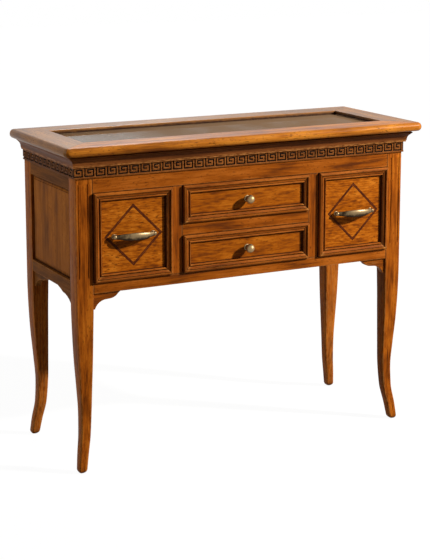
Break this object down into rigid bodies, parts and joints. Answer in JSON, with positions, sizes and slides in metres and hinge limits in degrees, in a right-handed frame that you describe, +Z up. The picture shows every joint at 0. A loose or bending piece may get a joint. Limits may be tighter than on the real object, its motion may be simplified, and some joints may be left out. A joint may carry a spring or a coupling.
{
  "type": "display console table",
  "caption": "Console table with a glazed lift-up display top, a key-pattern frieze, framed drawers with pulls, and curved tapered legs.",
  "frame": {"origin": "on the ground under the middle of the table, lid overhang and hinges included", "axes": "+X to the right seen from the front, +Y to the back, +Z up; the drawers open towards -Y"},
  "size_m": [1.05, 0.406, 0.85],
  "materials": {
    "frame_wood": "satin lacquer with dark glaze in the recesses",
    "panel_wood": "satin lacquer over wavy grain",
    "moulding_wood": "satin lacquer, dark glaze in the coves",
    "inlay_wood": "satin lacquer, dark line",
    "frieze_wood": "waxed, near-black glaze in the grooves",
    "inside_wood": "plain, clear sealed",
    "glass": "clear, polished",
    "felt": "dark felt",
    "antique_brass": "antique, dark in the recesses"
  },
  "bodies": {
    "carcass": {"back_bottom_rail": "frame_wood", "back_panel": "inside_wood", "back_top_rail": "frame_wood", "case_floor": "inside_wood", "case_lining": "felt", "cornice_front": "frame_wood", "cornice_left": "frame_wood", "cornice_right": "frame_wood", "drawer_divider_rail": "frame_wood", "drawer_runners": "inside_wood", "frieze_front": "frieze_wood", "frieze_left": "frieze_wood", "frieze_right": "frieze_wood", "front_bottom_rail": "frame_wood", "front_brackets": "frame_wood", "front_stiles": "frame_wood", "front_top_rail": "frame_wood", "hinge_leaves_case": "antique_brass", "hinge_pins": "antique_brass", "leg_back_left": "frame_wood", "leg_back_right": "frame_wood", "leg_front_left": "frame_wood", "leg_front_right": "frame_wood", "partitions": "inside_wood", "side_bottom_rail_left": "frame_wood", "side_bottom_rail_right": "frame_wood", "side_brackets": "frame_wood", "side_panel_left": "panel_wood", "side_panel_right": "panel_wood", "side_top_rail_left": "frame_wood", "side_top_rail_right": "frame_wood"},
    "left_drawer": {"left_drawer_front": "panel_wood", "left_drawer_inlay": "inlay_wood", "left_drawer_moulding": "moulding_wood", "left_drawer_box": "inside_wood", "left_drawer_bottom": "inside_wood", "left_drawer_handle": "antique_brass"},
    "right_drawer": {"right_drawer_front": "panel_wood", "right_drawer_inlay": "inlay_wood", "right_drawer_moulding": "moulding_wood", "right_drawer_box": "inside_wood", "right_drawer_bottom": "inside_wood", "right_drawer_handle": "antique_brass"},
    "upper_drawer": {"upper_drawer_front": "panel_wood", "upper_drawer_moulding": "moulding_wood", "upper_drawer_box": "inside_wood", "upper_drawer_bottom": "inside_wood", "upper_drawer_knob": "antique_brass"},
    "lower_drawer": {"lower_drawer_front": "panel_wood", "lower_drawer_moulding": "moulding_wood", "lower_drawer_box": "inside_wood", "lower_drawer_bottom": "inside_wood", "lower_drawer_knob": "antique_brass"},
    "lid": {"lid_rail_front": "frame_wood", "lid_rail_back": "frame_wood", "lid_rail_left": "frame_wood", "lid_rail_right": "frame_wood", "lid_glass": "glass", "glass_beads": "inside_wood", "hinge_leaves_lid": "antique_brass"}
  },
  "joints": [
    {"name": "left_drawer_slide", "type": "slide", "parent": "carcass", "child": "left_drawer", "axis": [0, -1, 0], "range_m": [0, 0.2]},
    {"name": "right_drawer_slide", "type": "slide", "parent": "carcass", "child": "right_drawer", "axis": [0, -1, 0], "range_m": [0, 0.2]},
    {"name": "upper_drawer_slide", "type": "slide", "parent": "carcass", "child": "upper_drawer", "axis": [0, -1, 0], "range_m": [0, 0.2]},
    {"name": "lower_drawer_slide", "type": "slide", "parent": "carcass", "child": "lower_drawer", "axis": [0, -1, 0], "range_m": [0, 0.2]},
    {"name": "lid_hinge", "type": "hinge", "parent": "carcass", "child": "lid", "pos_m": [0, 0.1999, 0.82585], "axis": [-1, 0, 0], "range_deg": [0, 95]}
  ]
}
